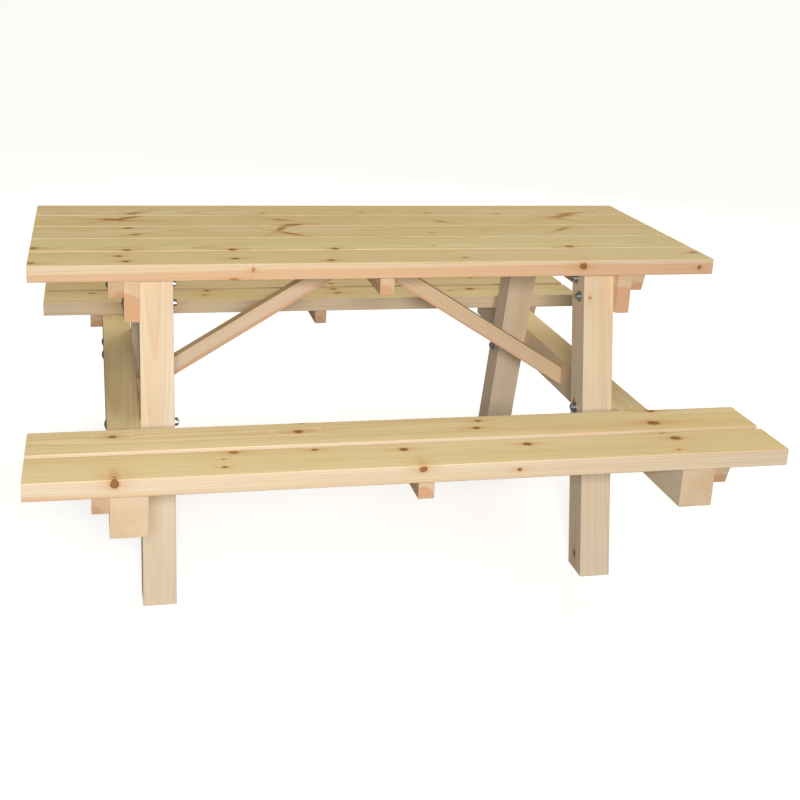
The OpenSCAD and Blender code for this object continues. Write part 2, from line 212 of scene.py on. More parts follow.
class Paint:
    """One material and the nodes in it."""

    def __init__(self, name):
        self.material = bpy.data.materials.new(name)
        self.material.use_nodes = True
        self.tree = self.material.node_tree
        self.tree.nodes.clear()

    def add(self, kind, settings=None, inputs=None, output=0):
        """Adds a node: its settings are set first, then the values or links of its sockets."""
        node = self.tree.nodes.new("ShaderNode" + kind)
        for name, setting in (settings or {}).items():
            if name == "stops":
                self.set_stops(node.color_ramp, setting)
            else:
                setattr(node, name, setting)
        for key, value in (inputs or {}).items():
            if isinstance(value, Value):
                self.tree.links.new(value.socket, node.inputs[key])
            else:
                node.inputs[key].default_value = value
        return Value(self, node.outputs[output]) if len(node.outputs) else None

    def set_stops(self, ramp, stops):
        while len(ramp.elements) < len(stops):
            ramp.elements.new(1)
        for element, (position, level) in zip(ramp.elements, stops):
            element.position = position
            element.color = (level, level, level, 1)

    def mix(self, a, b, share, blend="MIX"):
        settings = {"data_type": "RGBA", "blend_type": blend}
        a, b = (c if isinstance(c, Value) else (*c, 1) for c in (a, b))
        return self.add("Mix", settings, {0: share, 6: a, 7: b}, output=2)

    def vector(self, operation, *inputs, output=0):
        return self.add("VectorMath", {"operation": operation}, dict(enumerate(inputs)), output)

    def step(self, value, start, end, low=0.0, high=1.0):
        """A smooth step from low to high as the value goes from start to end."""
        settings = {"interpolation_type": "SMOOTHSTEP"}
        inputs = {"Value": value, "From Min": start, "From Max": end, "To Min": low, "To Max": high}
        return self.add("MapRange", settings, inputs)

    def noise(self, place, stretch, shift, detail=2.0):
        """Cloudy noise, from 0 to 1, with that many clouds per metre along each axis."""
        moved = self.vector("MULTIPLY_ADD", place, stretch, shift)
        return self.add("TexNoise", None, {"Vector": moved, "Scale": 1.0, "Detail": detail})

    def shade(self, colour, roughness, bump, depth, **constants):
        """Ends the material with a Principled shader and a bump of that depth."""
        normal = self.add("Bump", None, {"Height": bump, "Distance": depth, "Strength": 1.0})
        inputs = {"Base Color": colour, "Roughness": roughness, "Normal": normal, **constants}
        surface = self.add("BsdfPrincipled", None, inputs)
        self.add("OutputMaterial", None, {"Surface": surface})
        return self.material


# ---- Pine ----

# Clouds of noise per metre along, across and through the timber
SWAY_CLOUDS = (1.1, 3, 3)
RIPPLES = (5, 45, 45)
TONE_CLOUDS = (0.9, 12, 12)
STREAKS = (2.2, 85, 85)
FIBRES = (14, 900, 900)
KNOT_OUTLINE = (110, 160, 160)
KNOT_SWEEP = (0.32, 0.9, 0.9)

# Darkness through one year's growth: a slow climb to the latewood, then a quick fall
YEAR_STOPS = [(0, 0.0), (0.45, 0.12), (0.86, 1.0), (1, 0.0)]
GRAIN_DEPTH = 0.22 * MM
SHEEN = 0.30


class Knot:
    """A knot at a place in a timber: along, across and through, in mm, with its three radii in mm.

    A soft knot is a branch cut along its length, whose outline fades."""

    def __init__(self, along, across, through, radii, dark=0.8, turn=0, soft=0.12):
        self.place = Vector((along, across, through)) * MM
        self.radii = Vector(radii) * MM
        self.dark = dark
        self.turn = math.radians(turn)
        self.soft = soft


class Cut:
    """How a timber lay in its log: the pith's place in mm across and through, its drift, and the heart."""

    def __init__(self, pith, drift=(0, 0), heart=0, tint=(1, 1, 1), grain=1.0, knots=()):
        self.pith = Vector(pith) * MM
        self.drift = Vector(drift)
        self.heart = heart * MM
        self.tint = tint
        self.grain = grain
        self.knots = knots


def knot_fields(paint, place, knots, shift):
    """Distance to the nearest knot in radii, the same stretched along the grain, and how dark it is."""
    near = flow = dark = None
    uneven = (paint.noise(place, KNOT_OUTLINE, shift) - 0.5) * 0.6
    for knot in knots:
        inputs = {"Vector": place, "Location": knot.place, "Scale": knot.radii}
        inputs["Rotation"] = (0, 0, knot.turn)
        inside = paint.add("Mapping", {"vector_type": "TEXTURE"}, inputs)
        ring = paint.vector("LENGTH", inside, output="Value") + uneven
        sweep = paint.vector("LENGTH", paint.vector("MULTIPLY", inside, KNOT_SWEEP), output="Value")
        shade = paint.step(ring, 1 - knot.soft, 1 + knot.soft, knot.dark, 0.0)
        near = ring if near is None else near.math("MINIMUM", ring)
        flow = sweep if flow is None else flow.math("MINIMUM", sweep)
        dark = shade if dark is None else dark.math("MAXIMUM", shade)
    return near, flow, dark


def pine(name, centre, grain_frame, cut, seed):
    """Planed pine whose growth rings run round a pith line, in the timber's own directions."""
    sizes = bpy.context.scene.picnic_timber
    wood = bpy.context.scene.picnic_pine
    paint = Paint(name)
    rng = random.Random(seed)

    def shift():
        return tuple(rng.uniform(-50, 50) for _ in range(3))

    coordinates = paint.add("TexCoord", output="Object")
    normal = paint.add("TexCoord", output="Normal")
    place = paint.add("Mapping", {"vector_type": "TEXTURE"}, {
        "Vector": coordinates, "Location": centre, "Rotation": grain_frame.to_euler(),
    })
    split = paint.add("SeparateXYZ", None, {"Vector": place})
    along, across, through = (Value(paint, s) for s in split.socket.node.outputs)

    # Distance from the pith line, which sways and drifts along the timber
    sways = [paint.noise(place, SWAY_CLOUDS, shift(), 1.0) - 0.5 for _ in range(2)]
    across = across - cut.pith[0] - along * cut.drift[0] + sways[0] * sizes.sway
    through = through - cut.pith[1] - along * cut.drift[1] + sways[1] * sizes.sway
    reach = (across * across + through * through).math("SQRT")
    ripple = paint.noise(place, RIPPLES, shift()) - 0.5
    rings = reach / sizes.ring_gap + ripple * 0.7
    lift = None
    if cut.knots:
        near, flow, dark = knot_fields(paint, place, cut.knots, shift())
        lift = (flow * flow * -0.55).math("EXPONENT")
        rings = rings + lift * 3.2

    # Growth rings, with some years darker than others
    year = rings.math("FLOOR")
    late = paint.add("ValToRGB", {"stops": YEAR_STOPS}, {0: rings.math("FRACT")})
    vigour = paint.add("TexWhiteNoise", {"noise_dimensions": "1D"}, {"W": year + seed})
    late = late * (0.25 + vigour * 0.75)
    seasons = paint.add("TexNoise", {"noise_dimensions": "1D"}, {
        "W": rings * 0.3 + seed, "Detail": 1.0,
    })
    clouds = paint.noise(place, TONE_CLOUDS, shift())
    streaks = paint.noise(place, STREAKS, shift(), 3.0)
    fibres = paint.noise(place, FIBRES, shift())

    tone = paint.mix(wood.sapwood, wood.straw, paint.step(clouds, 0.35, 0.68))
    if cut.heart:
        uneven = reach + (clouds - 0.5) * 0.03
        inner = paint.step(uneven, cut.heart - 3 * MM, cut.heart + 3 * MM, 1, 0)
        tone = paint.mix(tone, wood.heartwood, inner * 0.85)
    tone = paint.mix(tone, wood.latewood, late * (0.55 * cut.grain))
    tone = paint.mix(tone, wood.latewood, paint.step(seasons, 0.45, 0.75) * (0.34 * cut.grain))
    tone = paint.mix(tone, wood.latewood, paint.step(streaks, 0.5, 0.75) * 0.26)
    if cut.knots:
        tone = paint.mix(tone, wood.halo, lift * (0.20 + streaks * 0.55))
        waves = (near * 15.0 + clouds * 9.0).math("SINE") * 0.5 + 0.5
        face = paint.mix(wood.knot, wood.bark, waves * 0.6)
        rim = 1 - abs(near - 0.9) * 5.0
        face = paint.mix(face, wood.bark, rim.math("MAXIMUM", 0) * 0.9)
        resin = paint.step(near, 1.0, 2.1, 0.55, 0.0)
        tone = paint.mix(tone, wood.halo, resin * (0.4 + streaks))
        tone = paint.mix(tone, face, dark)
    level = 1.0 + (fibres - 0.5) * 0.16 + (streaks - 0.5) * 0.10
    tone = paint.add("VectorMath", {"operation": "SCALE"}, {0: tone, "Scale": level})
    tone = paint.mix(tone, cut.tint, 1.0, "MULTIPLY")
    # Painted top light: faces that point up take a yellow tint that stands in for light from above
    up = paint.add("SeparateXYZ", None, {"Vector": normal}, output=2)
    tone = paint.mix(tone, wood.painted_top_light, paint.step(up, 0.5, 0.9), "MULTIPLY")
    end = abs(paint.vector("DOT_PRODUCT", normal, grain_frame.col[0], output="Value"))
    end = paint.step(end, 0.6, 0.85)
    tone = paint.mix(tone, wood.sawn, end, "MULTIPLY")

    roughness = 0.54 + fibres * 0.14 + end * 0.16 - late * 0.06
    bump = fibres * 0.35 + late * 0.45 + ripple * end
    return paint.shade(tone, roughness, bump, GRAIN_DEPTH, **{"Specular IOR Level": SHEEN})


# ---- Pieces ----


def finish_piece(mesh, name, slot, material, *nodes):
    """Turns a bmesh into a piece that rides on the table and stands for those CAD nodes."""
    data = bpy.data.meshes.new(name)
    for face in mesh.faces:
        face.smooth = True
    mesh.to_mesh(data)
    mesh.free()
    piece = bpy.data.objects.new(name, data)
    bpy.context.scene.collection.objects.link(piece)
    data.materials.append(material)
    even = piece.modifiers.new("Even shading", "WEIGHTED_NORMAL")
    even.keep_sharp = True
    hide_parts(*nodes)
    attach(piece, "root")


def end_box(node, axis, high):
    """Lowest and highest corner of the CAD node's section at its low or high end along an axis."""
    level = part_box(node)[high][axis]
    points = [v.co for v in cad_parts[node].data.vertices if abs(v.co[axis] - level) < AT_END]
    return [Vector(pick(p[i] for p in points) for i in range(3)) for pick in (min, max)]


def block(ends, axis):
    """A six-sided solid between two end sections, each given by its lowest and highest corner."""
    mesh = bmesh.new()
    for corner in bmesh.ops.create_cube(mesh, size=2)["verts"]:
        low, high = ends[corner.co[axis] > 0]
        corner.co = [(high if corner.co[i] > 0 else low)[i] for i in range(3)]
    return mesh


def ease(mesh, edges, radius, segments):
    bmesh.ops.bevel(
        mesh, geom=edges, offset=radius, offset_type="OFFSET", segments=segments,
        profile=0.5, affect="EDGES", material=-1,
    )


def timber(node, slot, run, face, cut, seed, edge, axis=None):
    """Builds one planed timber round its CAD node, with eased long edges and a fine chamfer at its ends.

    It runs along one axis, and its two flat sections are those at its ends along the other."""
    axis = run if axis is None else axis
    ends = [end_box(node, axis, high) for high in (False, True)]
    mesh = block(ends, axis)
    low_end, high_end = ((low + high) / 2 for low, high in ends)
    direction = (high_end - low_end).normalized() if axis == run else (X, Y, Z)[run]
    across = face.cross(direction).normalized()
    grain = Matrix((direction, across, direction.cross(across))).transposed()
    mesh.normal_update()

    def along(edge_or_face):
        if isinstance(edge_or_face, bmesh.types.BMFace):
            return abs(edge_or_face.normal.dot(direction))
        start, end = edge_or_face.verts
        return abs((end.co - start.co).normalized().dot(direction))

    ease(mesh, [e for e in mesh.edges if along(e) > 0.9], edge, EDGE_STEPS)
    mesh.normal_update()
    rim = [e for e in mesh.edges if sum(along(f) > 0.6 for f in e.link_faces) == 1]
    ease(mesh, rim, bpy.context.scene.picnic_timber.end_edge, 1)
    bmesh.ops.recalc_face_normals(mesh, faces=mesh.faces[:])
    centre = sum(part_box(node), Vector()) / 2
    material = pine("Pine, " + node.replace("_", " "), centre, grain, cut, seed)
    finish_piece(mesh, node + "_timber", slot, material, node)


def board_top(along, across, size, dark=0.8, turn=0, stretch=1.3):
    """A knot on a board's upper face, running down into it. A long one is a branch cut along its length."""
    soft = 0.12 if stretch < 2 else 0.45
    return Knot(along, across, BOARD_HALF, (size * stretch, size, 60), dark, turn, soft)


BOARD_HALF = 19
TOP_KNOTS = {
    1: [
        board_top(-605, 18, 6.5, 0.75), board_top(-591, -29, 6.5, 0.9), board_top(-795, -37, 8, 0.6),
        board_top(-348, -13, 7, 0.85), board_top(-134, -36, 7, 0.9), board_top(186, -22, 4.5, 0.8),
        board_top(779, 7, 7, 0.55),
        Knot(467, -60, 5, (9, 30, 7.5), 0.9), Knot(764, -60, -1, (4, 20, 5), 0.85),
        Knot(-313, -60, 4.5, (3, 14, 5), 0.6, 10), Knot(-355, -60, -18, (9, 14, 4), 0.6),
    ],
    2: [
        board_top(-585, -52, 7, 0.85), board_top(-793, -29, 8, 0.7), board_top(-345, -53, 7.5, 0.95),
        board_top(-104, -52, 7, 0.95), board_top(141, -30, 3, 0.4), board_top(484, -48, 8, 0.85),
    ],
    3: [
        board_top(-576, 42, 7, 0.75), board_top(-560, -26, 8, 0.5, 20), board_top(-200, 30, 7, 0.6, 60, 3),
        board_top(-185, -22, 7, 0.55, -40, 4), board_top(175, -21, 4, 0.45),
        board_top(540, 15, 6, 0.3, 40, 4),
    ],
    4: [
        board_top(-610, 12, 9, 0.75, -12, 3.2), board_top(-575, 32, 7, 0.7, 30, 4),
        board_top(-165, -52, 8, 0.8, 15, 3), board_top(-188, 5, 6, 0.5, -25, 3),
        board_top(238, -20, 6, 0.5, -30, 2.4), board_top(575, 15, 5, 0.45, -35, 4),
        board_top(600, 45, 8, 0.5, 25, 4),
    ],
    5: [
        board_top(-556, -37, 7, 0.6, 35, 2.5), board_top(-222, -37, 5, 0.4), board_top(45, -27, 4, 0.3),
        board_top(226, -38, 5, 0.5), board_top(423, -46, 4, 0.5), board_top(625, -51, 8, 0.5, 20, 3),
    ],
}
SEAT_KNOTS = {
    "front_inner": [
        board_top(-627, 21, 6, 0.85), board_top(-238, 10, 7, 0.95), board_top(-223, 58, 5, 0.7),
        board_top(169, 31, 5, 0.9), board_top(153, -8, 6, 0.9), board_top(591, 53, 8, 0.9),
        board_top(565, -20, 10, 0.95),
    ],
    "front_outer": [
        board_top(-386, 48, 7, 0.7), board_top(-411, 17, 2.5, 0.8), board_top(-412, -22, 4, 0.9),
        board_top(-220, 44, 5, 0.85), board_top(-35, 27, 7, 1.0), board_top(236, 27, 7, 1.0),
        board_top(557, 60, 7, 0.7), board_top(576, 25, 9, 0.9), board_top(554, -36, 3.5, 0.6),
        Knot(-627, -58.5, 10.5, (8.5, 40, 9), 0.95), Knot(-15, -58.5, 11, (8, 40, 6), 0.9),
        Knot(190, -58.5, 1, (4.5, 25, 3.5), 0.95),
    ],
    "rear_inner": [
        board_top(51, 41, 7, 0.8), board_top(-332, 44, 7, 0.8), board_top(-665, 35, 6, 0.5),
        board_top(56, 1, 8, 0.7), board_top(-342, -3, 5, 0.6), board_top(478, 22, 9, 0.8),
        board_top(409, 4, 4, 0.6),
    ],
    "rear_outer": [board_top(56, -30, 6, 0.7), board_top(-480, 10, 7, 0.8), board_top(520, 20, 6, 0.7)],
}
TOP_CUTS = {
    1: Cut((-75, -22), (0.001, 0.006), heart=36, knots=TOP_KNOTS[1]),
    2: Cut((-30, -120), (0.02, 0.01), heart=98, tint=(0.99, 1.01, 0.97), knots=TOP_KNOTS[2]),
    3: Cut((10, -90), (-0.01, 0.02), heart=0, tint=(0.98, 0.98, 0.96), knots=TOP_KNOTS[3]),
    4: Cut((5, -60), (0.01, -0.01), heart=62, tint=(0.99, 0.98, 0.95), knots=TOP_KNOTS[4]),
    5: Cut((-25, -80), (0.01, 0.02), heart=70, tint=(0.98, 0.97, 0.94), knots=TOP_KNOTS[5]),
}
OUTER_TINT = (1, 1.01, 1.02)
# Painted shade: the rear seat boards are darkened for the shade that the top casts on them
REAR_PAINTED_SHADE = (0.95, 0.94, 0.90)
SEAT_CUTS = {
    "front_inner": Cut((12, -75), (0.01, 0.005), 66, knots=SEAT_KNOTS["front_inner"]),
    "front_outer": Cut((-74, -49), (0.002, -0.010), 35, OUTER_TINT, knots=SEAT_KNOTS["front_outer"]),
    "rear_inner": Cut((-10, -70), (0.01, 0.01), 55, REAR_PAINTED_SHADE, knots=SEAT_KNOTS["rear_inner"]),
    "rear_outer": Cut((10, -90), (0.015, 0.01), 60, REAR_PAINTED_SHADE, knots=SEAT_KNOTS["rear_outer"]),
}

LEG_KNOTS = {
    "leg_front_right": [
        Knot(301, 23, 37.5, (3, 3, 20), 0.5), Knot(-331, 37.5, -1, (8, 20, 6), 0.7),
        Knot(46, 37.5, -17, (5, 20, 4), 0.6),
    ],
    "leg_front_left": [Knot(-120, -37.5, 6, (6, 25, 5), 0.7)],
    "leg_rear_left": [Knot(140, 10, 37.5, (7, 6, 30), 0.75), Knot(-200, -37.5, 8, (8, 25, 6), 0.6)],
    "leg_rear_right": [Knot(-90, -14, 37.5, (8, 7, 30), 0.8), Knot(210, 37.5, 5, (6, 25, 5), 0.6)],
}
BEARER_KNOTS = [
    Knot(-420, 10, 45, (8, 7, 30), 0.7), Knot(240, -37.5, -12, (9, 30, 7), 0.75),
    Knot(30, 37.5, 10, (6, 20, 5), 0.6),
]


class TimberOperator:
    """Shared by the operators that build timbers."""

    bl_options = {"REGISTER", "UNDO"}

    def execute(self, context):
        for node in self.nodes():
            self.build(context, node)
        return {"FINISHED"}


class PICNIC_OT_top_boards(TimberOperator, bpy.types.Operator):
    """Build the five boards of the top"""

    bl_idname = "picnic_table.top_boards"
    bl_label = "Top boards"

    def nodes(self):
        return range(1, 6)

    def build(self, context, i):
        edge = context.scene.picnic_timber.board_edge
        timber(f"top_board_{i}", "top_boards", 0, Z, TOP_CUTS[i], 10 + i, edge)


class PICNIC_OT_seat_boards(TimberOperator, bpy.types.Operator):
    """Build the two boards of each seat"""

    bl_idname = "picnic_table.seat_boards"
    bl_label = "Seat boards"

    def nodes(self):
        return SEAT_CUTS

    def build(self, context, place):
        edge = context.scene.picnic_timber.board_edge
        seed = 20 + list(SEAT_CUTS).index(place)
        timber(f"seat_board_{place}", "seat_boards", 0, Z, SEAT_CUTS[place], seed, edge)


class PICNIC_OT_legs(TimberOperator, bpy.types.Operator):
    """Build the four sloping legs"""

    bl_idname = "picnic_table.legs"
    bl_label = "Legs"

    def nodes(self):
        return [f"leg_{side}_{end}" for side in SIDES for end in ENDS]

    def build(self, context, node):
        seed = 30 + self.nodes().index(node)
        rng = random.Random(seed)
        pith = (rng.uniform(-50, 50), rng.uniform(-70, -40))
        cut = Cut(pith, (0.01, 0.01), tint=(1, 0.99, 1), grain=0.6, knots=LEG_KNOTS[node])
        outward = -Y if "front" in node else Y
        timber(node, "legs", 2, outward, cut, seed, context.scene.picnic_timber.frame_edge)


class PICNIC_OT_beams(TimberOperator, bpy.types.Operator):
    """Build the beams under the top"""

    bl_idname = "picnic_table.beams"
    bl_label = "Beams"

    def nodes(self):
        return [f"table_beam_{end}" for end in ENDS]

    def build(self, context, node):
        seed = 40 + self.nodes().index(node)
        cut = Cut((10, -20), (0.01, 0.01), heart=40, grain=0.8)
        timber(node, "beams", 1, Z, cut, seed, context.scene.picnic_timber.frame_edge)


class PICNIC_OT_bearers(TimberOperator, bpy.types.Operator):
    """Build the bearers under the seats"""

    bl_idname = "picnic_table.bearers"
    bl_label = "Bearers"

    def nodes(self):
        return [f"seat_bearer_{end}" for end in ENDS]

    def build(self, context, node):
        seed = 50 + self.nodes().index(node)
        cut = Cut((20, -70), (0.01, 0.01), grain=0.6, knots=BEARER_KNOTS)
        timber(node, "bearers", 1, Z, cut, seed, context.scene.picnic_timber.frame_edge)


class PICNIC_OT_battens(TimberOperator, bpy.types.Operator):
    """Build the battens under the ends of the top and seats"""

    bl_idname = "picnic_table.battens"
    bl_label = "Battens"

    def nodes(self):
        table = [f"table_batten_{end}" for end in ENDS]
        return table + [f"seat_batten_{side}_{end}" for side in SIDES for end in ENDS]

    def build(self, context, node):
        seed = 60 + self.nodes().index(node)
        rng = random.Random(seed)
        cut = Cut((rng.uniform(-20, 20), -24), (0.01, 0.01), heart=24, tint=(1, 0.96, 0.95))
        timber(node, "battens", 1, Z, cut, seed, context.scene.picnic_timber.frame_edge, axis=2)


class PICNIC_OT_cleats(TimberOperator, bpy.types.Operator):
    """Build the cleats at the middle of the top and seats"""

    bl_idname = "picnic_table.cleats"
    bl_label = "Cleats"

    def nodes(self):
        return ["table_cleat"] + [f"seat_cleat_{side}" for side in SIDES]

    def build(self, context, node):
        seed = 70 + self.nodes().index(node)
        cut = Cut((8, -16), (0.01, 0.01), heart=20, tint=(1, 0.97, 0.96))
        timber(node, "cleats", 1, Z, cut, seed, context.scene.picnic_timber.frame_edge)


class PICNIC_OT_braces(TimberOperator, bpy.types.Operator):
    """Build the two diagonal braces"""

    bl_idname = "picnic_table.braces"
    bl_label = "Braces"

    def nodes(self):
        return [f"brace_{end}" for end in ENDS]

    def build(self, context, node):
        seed = 80 + self.nodes().index(node)
        cut = Cut((0, -30), (0.01, 0.01), heart=22, tint=(1, 0.95, 0.93))
        timber(node, "braces", 0, Z, cut, seed, context.scene.picnic_timber.frame_edge)


# ---- Fasteners ----


def plated(name, bright, dull):
    """Zinc plate with cloudy crystals and duller patches."""
    paint = Paint(name)
    place = paint.add("TexCoord", output="Object")
    cloud = paint.noise(place, (260, 260, 260), (3, 1, 4), 3.0)
    crystal = paint.add("TexVoronoi", None, {"Vector": place, "Scale": 900.0}, output="Distance")
    tone = paint.mix(bright, dull, paint.step(cloud, 0.4, 0.7))
    roughness = 0.32 + cloud * 0.22 + crystal * 0.05
    return paint.shade(tone, roughness, crystal + cloud, 0.02 * MM, Metallic=1.0)


def loose_parts(node):
    """A mesh of a CAD node with its flat faces joined, and the set of faces of each separate solid."""
    mesh = bmesh.new()
    mesh.from_mesh(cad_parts[node].data)
    bmesh.ops.remove_doubles(mesh, verts=mesh.verts, dist=CAD_WELD)
    bmesh.ops.dissolve_limit(mesh, angle_limit=FLAT, verts=mesh.verts, edges=mesh.edges)
    waiting = set(mesh.faces)
    parts = []
    while waiting:
        part = {waiting.pop()}
        reached = list(part)
        while reached:
            face = reached.pop()
            found = {f for e in face.edges for f in e.link_faces} & waiting
            waiting -= found
            part |= found
            reached += found
        parts.append(part)
    return mesh, parts


def seats_of(node):
    """The middle and direction of each solid's largest face, and how far the solid reaches behind it."""
    mesh, parts = loose_parts(node)
    seats = []
    for part in parts:
        face = max(part, key=lambda f: f.calc_area())
        middle = face.calc_center_bounds()
        depth = max(-(v.co - middle).dot(face.normal) for f in part for v in f.verts)
        seats.append((middle.copy(), face.normal.copy(), depth))
    mesh.free()
    seats.sort(key=lambda s: tuple(round(c, 4) for c in s[0]))
    return seats


def boxes_of(node):
    """Lowest and highest corner of each solid of a CAD node."""
    mesh, parts = loose_parts(node)
    boxes = []
    for part in parts:
        points = [v.co for f in part for v in f.verts]
        boxes.append([Vector(pick(p[i] for p in points) for i in range(3)) for pick in (min, max)])
    mesh.free()
    boxes.sort(key=lambda b: tuple(round(c, 4) for c in b[0]))
    return boxes


def turned(mesh, profile, steps):
    """Spins a profile of (radius, height) points once round the Z axis."""
    points = [mesh.verts.new((r, 0, z)) for r, z in profile]
    edges = [mesh.edges.new(pair) for pair in zip(points, points[1:])]
    bmesh.ops.spin(
        mesh, geom=points + edges, cent=(0, 0, 0), axis=(0, 0, 1), dvec=(0, 0, 0),
        angle=math.tau, steps=steps, use_merge=True, use_duplicate=False,
    )


def cut_flats(mesh, flats):
    """Cuts the six flats of a hexagon on a turned shape, leaving its chamfers as arcs."""
    for i in range(6):
        side = Vector((math.cos(math.tau * i / 6), math.sin(math.tau * i / 6), 0))
        cut = bmesh.ops.bisect_plane(
            mesh, geom=mesh.verts[:] + mesh.edges[:] + mesh.faces[:], dist=WELD,
            plane_co=side * flats / 2, plane_no=side, clear_outer=True,
        )
        rim = [e for e in cut["geom_cut"] if isinstance(e, bmesh.types.BMEdge)]
        bmesh.ops.edgeloop_fill(mesh, edges=rim)


def domed_head(diameter, height, rim, steps):
    """A coach bolt's low domed head that stands on z = 0, with a thin rim."""
    rise = height - rim
    radius = (diameter ** 2 / 4 + rise ** 2) / (2 * rise)
    spread = math.asin(diameter / 2 / radius)
    angles = [spread * i / DOME_STEPS for i in range(DOME_STEPS, -1, -1)]
    arc = [(radius * math.sin(a), height - radius * (1 - math.cos(a))) for a in angles]
    mesh = bmesh.new()
    turned(mesh, [(0, 0), (diameter / 2 - rim / 2, 0), *arc], steps)
    bmesh.ops.remove_doubles(mesh, verts=mesh.verts, dist=WELD)
    return mesh


def hex_nut(flats, bore, height, sink, steps):
    """A nut from z = 0 up, chamfered on both faces and countersunk at its thread."""
    chamfer = math.radians(30)
    corner = flats / 2 / math.cos(math.tau / 12)
    flat_face = flats / 2 * 0.95
    fall = (corner - flat_face) * math.tan(chamfer)
    lip = bore / 2 + sink
    profile = [
        (lip, 0), (flat_face, 0), (corner, fall), (corner, height - fall), (flat_face, height),
        (lip, height), (bore / 2, height - sink), (bore / 2, sink), (lip, 0),
    ]
    mesh = bmesh.new()
    turned(mesh, profile, steps)
    bmesh.ops.remove_doubles(mesh, verts=mesh.verts, dist=WELD)
    cut_flats(mesh, flats)
    return mesh


def thread(mesh, diameter, pitch, low, high):
    """A helical thread round the Z axis from low to high, closed at both ends."""
    root = diameter / 2 - pitch * 0.6
    start = low - 1.5 * pitch
    turns = int((high - low) / pitch) + 3
    part = bmesh.new()
    ridge = ((root, 0), (diameter / 2, pitch / 2), (root, pitch))
    points = [part.verts.new((r, 0, start + z)) for r, z in ridge]
    edges = [part.edges.new(pair) for pair in zip(points, points[1:])]
    bmesh.ops.spin(
        part, geom=points + edges, cent=(0, 0, 0), axis=(0, 0, 1), dvec=(0, 0, pitch / THREAD_STEPS),
        angle=math.tau * turns, steps=THREAD_STEPS * turns, use_merge=False, use_duplicate=False,
    )
    bmesh.ops.remove_doubles(part, verts=part.verts, dist=THREAD_WELD)
    for level, side in ((low, -1), (high, 1)):
        cut = bmesh.ops.bisect_plane(
            part, geom=part.verts[:] + part.edges[:] + part.faces[:], dist=WELD,
            plane_co=(0, 0, level), plane_no=(0, 0, side), clear_outer=True,
        )
        rim = [e for e in cut["geom_cut"] if isinstance(e, bmesh.types.BMEdge)]
        bmesh.ops.holes_fill(part, edges=rim, sides=0)
    bmesh.ops.recalc_face_normals(part, faces=part.faces[:])
    add_copy(mesh, part, Matrix.Identity(4))
    part.free()


def add_copy(mesh, part, matrix):
    """Adds a moved copy of one bmesh to another."""
    data = bpy.data.meshes.new("part")
    part.to_mesh(data)
    data.transform(matrix)
    mesh.from_mesh(data)
    bpy.data.meshes.remove(data)


def add_shank(mesh, diameter, pitch, grip, threaded):
    """Adds to a head that stands on z = 0 a shank whose thread runs down to z = -grip."""
    threaded = min(grip / 2, threaded)
    profile = [(0, 0), (diameter / 2, 0), (diameter / 2, threaded - grip), (0, threaded - grip)]
    shank = bmesh.new()
    turned(shank, profile, SHANK_STEPS)
    bmesh.ops.remove_doubles(shank, verts=shank.verts, dist=WELD)
    add_copy(mesh, shank, Matrix.Identity(4))
    shank.free()
    thread(mesh, diameter, pitch, -grip, threaded - grip)
    bmesh.ops.recalc_face_normals(mesh, faces=mesh.faces[:])


def screw_shape(diameter, reach, proud):
    """A countersunk screw along +Z whose head's face is at z = 0, with a six-lobed recess."""
    head = diameter
    sink = diameter / 2
    tip = 1.2 * diameter
    recess = 0.4 * diameter
    mesh = bmesh.new()
    profile = [
        (head * 0.55, -proud), (head * 0.94, -proud), (head, -proud * 0.4), (diameter / 2, sink),
        (diameter / 2, reach - tip), (0.1 * diameter, reach), (0, reach),
    ]
    turned(mesh, profile, SHANK_STEPS)
    bmesh.ops.remove_doubles(mesh, verts=mesh.verts, dist=WELD)
    rim = [e for e in mesh.edges if e.is_boundary]
    made = bmesh.ops.extrude_edge_only(mesh, edges=rim)
    lobes = [v for v in made["geom"] if isinstance(v, bmesh.types.BMVert)]
    for vert in lobes:
        turn = math.atan2(vert.co.y, vert.co.x)
        swell = 0.36 + 0.09 * math.cos(6 * turn)
        vert.co.x, vert.co.y = head * swell * math.cos(turn), head * swell * math.sin(turn)
    inner = [e for e in made["geom"] if isinstance(e, bmesh.types.BMEdge)]
    made = bmesh.ops.extrude_edge_only(mesh, edges=inner)
    floor = [v for v in made["geom"] if isinstance(v, bmesh.types.BMVert)]
    bmesh.ops.translate(mesh, verts=floor, vec=(0, 0, recess))
    bmesh.ops.scale(mesh, verts=floor, vec=(0.8, 0.8, 1))
    bmesh.ops.edgeloop_fill(mesh, edges=[e for e in mesh.edges if e.is_boundary])
    bmesh.ops.recalc_face_normals(mesh, faces=mesh.faces[:])
    return mesh


def place_at(point, direction, turn=0.0):
    """A matrix that moves a part's origin to the point and its Z axis along the direction."""
    aim = direction.to_track_quat("Z", "Y").to_matrix().to_4x4()
    return Matrix.Translation(point) @ aim @ Matrix.Rotation(turn, 4, "Z")


